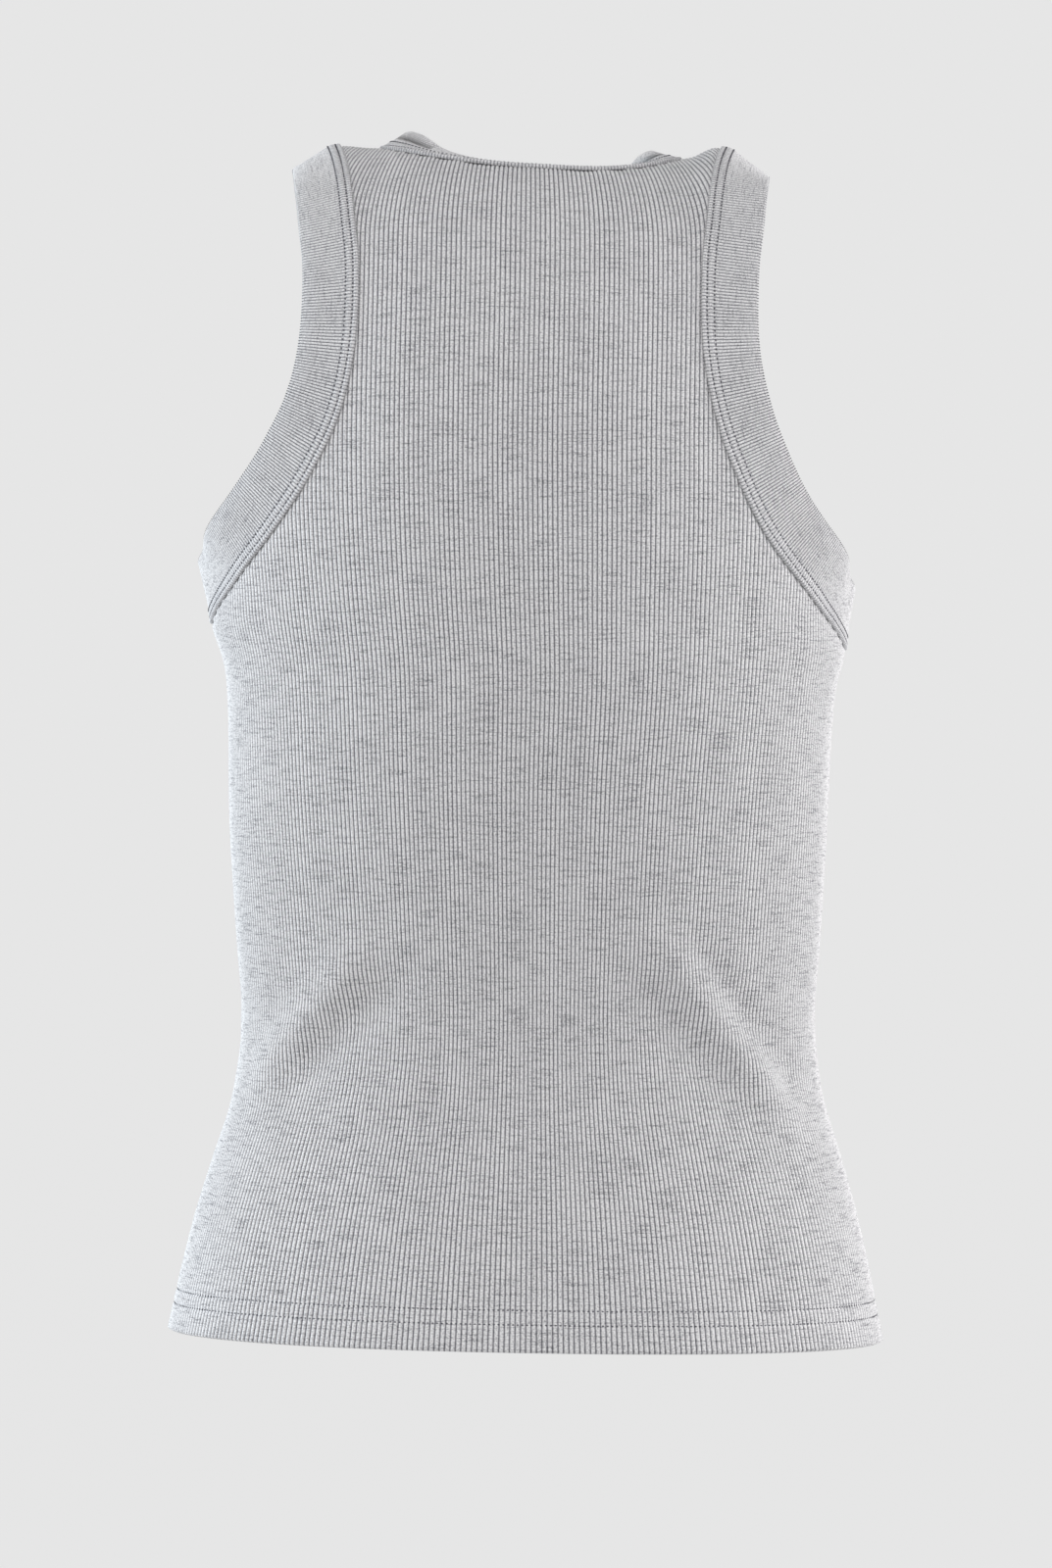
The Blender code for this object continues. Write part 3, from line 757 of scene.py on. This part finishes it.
def heather_group():
    """Spun yarn of light and dark fibres. The place is in millimetres, across and up the ribs."""
    colours = [("Light Yarn", "Color"), ("Dark Yarn", "Color")]
    strengths = [("Streaks", "Float"), ("Grain", "Float")]
    inputs = [("Place", "Vector")] + colours + strengths
    group, start, end = new_group("heather yarn", inputs, [("Colour", "Color"), ("Fuzz", "Float")])
    place = start.outputs["Place"]
    grain, fibres = yarn_noise(group, place, GRAIN)
    _, cloud = yarn_noise(group, place, CLOUDS)
    _, long_streaks = yarn_noise(group, place, LONG_STREAKS)
    _, short_streaks = yarn_noise(group, place, SHORT_STREAKS)
    long_dark = maths(group, "MULTIPLY", long_streaks, start.outputs["Streaks"])
    short_dark = maths(group, "MULTIPLY", short_streaks, start.outputs["Streaks"])
    fibres = maths(group, "MULTIPLY", fibres, start.outputs["Grain"])
    streaks = maths(group, "ADD", long_dark, short_dark)
    share = maths(group, "ADD", streaks, maths(group, "ADD", fibres, cloud))
    share = maths(group, "ADD", share, DARK_SHARE)
    share = add(group, "Clamp", {"Value": share}).outputs[0]
    colour = mixed(group, share, start.outputs["Light Yarn"], start.outputs["Dark Yarn"])
    group.links.new(colour, end.inputs["Colour"])
    group.links.new(grain, end.inputs["Fuzz"])
    return group


def wale_group():
    """Painted shade down in the grooves between ribs, and the loops up each rib."""
    colours = [("Colour", "Color"), ("Shade", "Color")]
    inputs = [("Place", "Vector")] + colours + [("Depth", "Float"), ("Groove", "Float")]
    group, start, end = new_group("rib wales and painted groove shade", inputs, [("Colour", "Color"), ("Height", "Float")])
    parts = add(group, "SeparateXYZ", {0: start.outputs["Place"]})
    rib = maths(group, "DIVIDE", parts.outputs[0], RIB_WIDTH)
    middle = maths(group, "ABSOLUTE", maths(group, "SUBTRACT", maths(group, "FRACT", rib), 0.5))
    from_groove = maths(group, "SUBTRACT", 0.5, middle)
    # Painted shade: the yarn's colour is darkened in each groove, as far as Depth says.
    groove = ranged(group, from_groove, 0.0, start.outputs["Groove"], 1.0, 0.0)
    painted_shade = maths(group, "MULTIPLY", groove, start.outputs["Depth"])
    colour = mixed(group, painted_shade, start.outputs["Colour"], start.outputs["Shade"], "MULTIPLY")
    group.links.new(colour, end.inputs["Colour"])
    loops = maths(group, "SINE", maths(group, "MULTIPLY", parts.outputs[1], 2 * math.pi / LOOP_HEIGHT))
    height = maths(group, "MULTIPLY", loops, maths(group, "SUBTRACT", 1.0, groove))
    group.links.new(height, end.inputs["Height"])
    return group


def knit_material(name, heather, wales, streaks, depth, groove):
    """Heather rib knit, with streaks of dark yarn and painted shade in the grooves between its ribs."""
    made = bpy.data.materials.new(name)
    made.use_nodes = True
    tree = made.node_tree
    shader = tree.nodes["Principled BSDF"]
    for socket, value in KNIT_FINISH:
        shader.inputs[socket].default_value = value
    uv = add(tree, "UVMap", uv_map="cloth").outputs[0]
    place = scaled(tree, uv, 1 / MM, 1 / MM)
    yarn_values = {
        "Place": place,
        "Light Yarn": LIGHT_YARN,
        "Dark Yarn": DARK_YARN,
        "Streaks": streaks,
        "Grain": GRAIN_STRENGTH,
    }
    yarn = add(tree, "Group", yarn_values, node_tree=heather)
    rib_values = {
        "Place": place,
        "Colour": yarn.outputs["Colour"],
        "Shade": PAINTED_GROOVE_SHADE,
        "Depth": depth,
        "Groove": groove,
    }
    ribs = add(tree, "Group", rib_values, node_tree=wales)
    tree.links.new(ribs.outputs["Colour"], shader.inputs["Base Color"])
    loops = maths(tree, "MULTIPLY", ribs.outputs["Height"], LOOP_RELIEF)
    height = maths(tree, "ADD", loops, yarn.outputs["Fuzz"])
    bumps = {"Strength": FUZZ_STRENGTH, "Distance": FUZZ_HEIGHT, "Height": height}
    tree.links.new(add(tree, "Bump", bumps).outputs[0], shader.inputs["Normal"])
    return made


def thread_material(name, colour):
    """Twisted thread, darker along one strand."""
    made = bpy.data.materials.new(name)
    made.use_nodes = True
    tree = made.node_tree
    shader = tree.nodes["Principled BSDF"]
    shader.inputs["Roughness"].default_value = THREAD_ROUGHNESS
    place = add(tree, "TexCoord").outputs["Object"]
    stretched = add(tree, "Mapping", {"Vector": place, "Scale": THREAD_TWIST}).outputs[0]
    darker = tuple(THREAD_DARKER * part for part in colour[:3]) + (1.0,)
    twist = noise(tree, stretched, 2.0, 0.5)
    tree.links.new(mixed(tree, twist, colour, darker), shader.inputs["Base Color"])
    return made


# The studio, in metres.
FLOOR_HEIGHT = -0.95
FLOOR_RADIUS = 5.2
FLOOR_SIDES = 96
SWEEP = 0.8  # radius of the curve from floor to wall
SWEEP_STEPS = 16
WALL_HEIGHT = 4.0
PAPER = (0.03, 0.03, 0.03, 1.0)
PAPER_GLOW = 0.769
PAPER_ROUGHNESS = 0.95
WHITE = (1.0, 1.0, 1.0, 1.0)
WORLD_STRENGTH = 0.45
LEFT_TINT, RIGHT_TINT, TOP_TINT = (0.83, 0.925, 1.0), (1.0, 0.98, 0.985), (1.0, 0.985, 0.99)
# (name, place, what it faces, width and height, watts, colour)
SOFTBOXES = (
    ("left_softbox", (1.75, -0.22, -0.2), (0.0, 0.0, -0.38), (0.8, 1.3), 32.0, LEFT_TINT),
    ("right_softbox", (-1.75, -0.22, -0.2), (0.0, 0.0, -0.38), (0.8, 1.3), 27.5, RIGHT_TINT),
    ("top_softbox", (0.0, 1.6, 1.7), (0.0, 0.0, -0.3), (2.0, 1.2), 28.0, TOP_TINT),
    ("low_softbox", (0.0, 1.1, -0.95), (0.0, 0.05, -0.5), (1.2, 0.5), 5.0, TOP_TINT),
)
CAMERA_PLACE = (0.0007, 3.0, -0.298)
FRAME_TALL = 0.736  # what the frame's height takes in at the origin
SENSOR = 36.0  # millimetres


def paper_material(name):
    """Matt paper that glows evenly, so that no lamp shows on it."""
    made = bpy.data.materials.new(name)
    made.use_nodes = True
    inputs = made.node_tree.nodes["Principled BSDF"].inputs
    inputs["Base Color"].default_value = PAPER
    inputs["Roughness"].default_value = PAPER_ROUGHNESS
    inputs["Specular IOR Level"].default_value = 0.0
    inputs["Emission Color"].default_value = WHITE
    inputs["Emission Strength"].default_value = PAPER_GLOW
    return made


def make_floor():
    """A pale round floor that curves up into a plain wall on every side."""
    bm = bmesh.new()
    bmesh.ops.create_circle(bm, cap_ends=True, segments=FLOOR_SIDES, radius=FLOOR_RADIUS)
    rim = bm.edges[:]
    quarter = [math.pi / 2 * k / SWEEP_STEPS for k in range(SWEEP_STEPS + 1)]
    rises = [(SWEEP * math.sin(angle), SWEEP * (1 - math.cos(angle))) for angle in quarter]
    for out, up in rises[1:] + [(SWEEP, SWEEP + WALL_HEIGHT)]:
        ring = bmesh.ops.extrude_edge_only(bm, edges=rim)["geom"]
        new = {item for item in ring if isinstance(item, bmesh.types.BMVert)}
        edges = [item for item in ring if isinstance(item, bmesh.types.BMEdge)]
        rim = [edge for edge in edges if set(edge.verts) <= new]
        for vert in new:
            outward = vert.co.xy.normalized().to_3d()
            vert.co = outward * (FLOOR_RADIUS + out) + Vector((0.0, 0.0, up))
    bmesh.ops.translate(bm, verts=bm.verts, vec=(0.0, 0.0, FLOOR_HEIGHT))
    bmesh.ops.recalc_face_normals(bm, faces=bm.faces)
    if bm.faces[0].normal.z < 0:
        bmesh.ops.reverse_faces(bm, faces=bm.faces)
    floor = mesh_object("studio_floor", bm)
    floor.data.materials.append(paper_material("studio paper"))


def make_light(name, place, aim, size, power, colour):
    lamp = bpy.data.lights.new(name, "AREA")
    lamp.shape = "RECTANGLE"
    lamp.size, lamp.size_y = size
    lamp.energy = power
    lamp.color = colour
    made = bpy.data.objects.new(name, lamp)
    made.location = place
    made.rotation_euler = (Vector(aim) - Vector(place)).to_track_quat("-Z", "Y").to_euler()
    bpy.context.scene.collection.objects.link(made)


def make_camera():
    lens = bpy.data.cameras.new("camera")
    lens.sensor_width = SENSOR
    lens.lens = SENSOR * CAMERA_PLACE[1] / FRAME_TALL
    made = bpy.data.objects.new("camera", lens)
    made.location = CAMERA_PLACE
    made.rotation_euler = (math.pi / 2, 0.0, math.pi)
    bpy.context.scene.collection.objects.link(made)
    bpy.context.scene.camera = made


def make_studio():
    make_camera()
    make_floor()
    for softbox in SOFTBOXES:
        make_light(*softbox)
    world = bpy.data.worlds.new("studio")
    world.use_nodes = True
    background = world.node_tree.nodes["Background"].inputs
    background["Color"].default_value = WHITE
    background["Strength"].default_value = WORLD_STRENGTH
    bpy.context.scene.world = world
    bpy.context.scene.view_settings.view_transform = "Standard"


def hole_seams(hand):
    """The seams of an armhole, or of the neck where hand is 0: along the back, then the front."""
    if hand:
        back, front = armhole_line(BACK, hand), armhole_line(FRONT, hand)
        return (back[0][::-1], back[1][::-1]), front
    back, front = neck_line(BACK), neck_line(FRONT)
    return back, (front[0][::-1], front[1][::-1])


def make_panels(knit, thread):
    hem_thread = stitches("hem_stitches", hem_stitch_rows())
    dressed(hem_thread, thread, "rib_knit")
    for name, side, node in (("back_cloth", BACK, "back_panel"), ("front_cloth", FRONT, "front_panel")):
        piece = make_panel(name, side)
        dressed(piece, knit, "rib_knit", node)


def make_bands(knit, thread):
    arm = (ARM_BAND_EVENED, ARM_BAND, ARM_BAND_BEND)
    neck = (NECK_BAND_EVENED, NECK_BAND, NECK_BAND_BEND)
    arm_centre = np.array(ARMHOLE_CENTRE)
    bands = (
        ("left_armhole", 1, arm_centre, *arm, "armhole_band_left"),
        ("right_armhole", -1, arm_centre * [-1, 1, 1], *arm, "armhole_band_right"),
        ("neck", 0, np.array(NECK_CENTRE), *neck, "neckband"),
    )
    for name, hand, centre, reach, table, bend, node in bands:
        piece, path = make_band(name + "_rib_band", hole_seams(hand), centre, reach, table, bend)
        dressed(piece, knit, "rib_band", node)
        sewn = stitches(name + "_stitches", band_stitch_rows(path, table, bend))
        dressed(sewn, thread, "rib_band")


def make_top():
    heather, wales = heather_group(), wale_group()
    # Depth is how dark the painted shade in the grooves is, and groove how far from a groove it
    # reaches, as a share of a rib.
    cloth_knit = knit_material("rib knit cloth", heather, wales, streaks=0.64, depth=0.95, groove=0.27)
    band_knit = knit_material("rib band cloth", heather, wales, streaks=0.4, depth=0.9, groove=0.3)
    thread = thread_material("twin needle thread", THREAD_WITH_PAINTED_SHADE)
    make_panels(cloth_knit, thread)
    make_bands(band_knit, thread)


make_studio()
make_top()
bpy.context.view_layer.update()
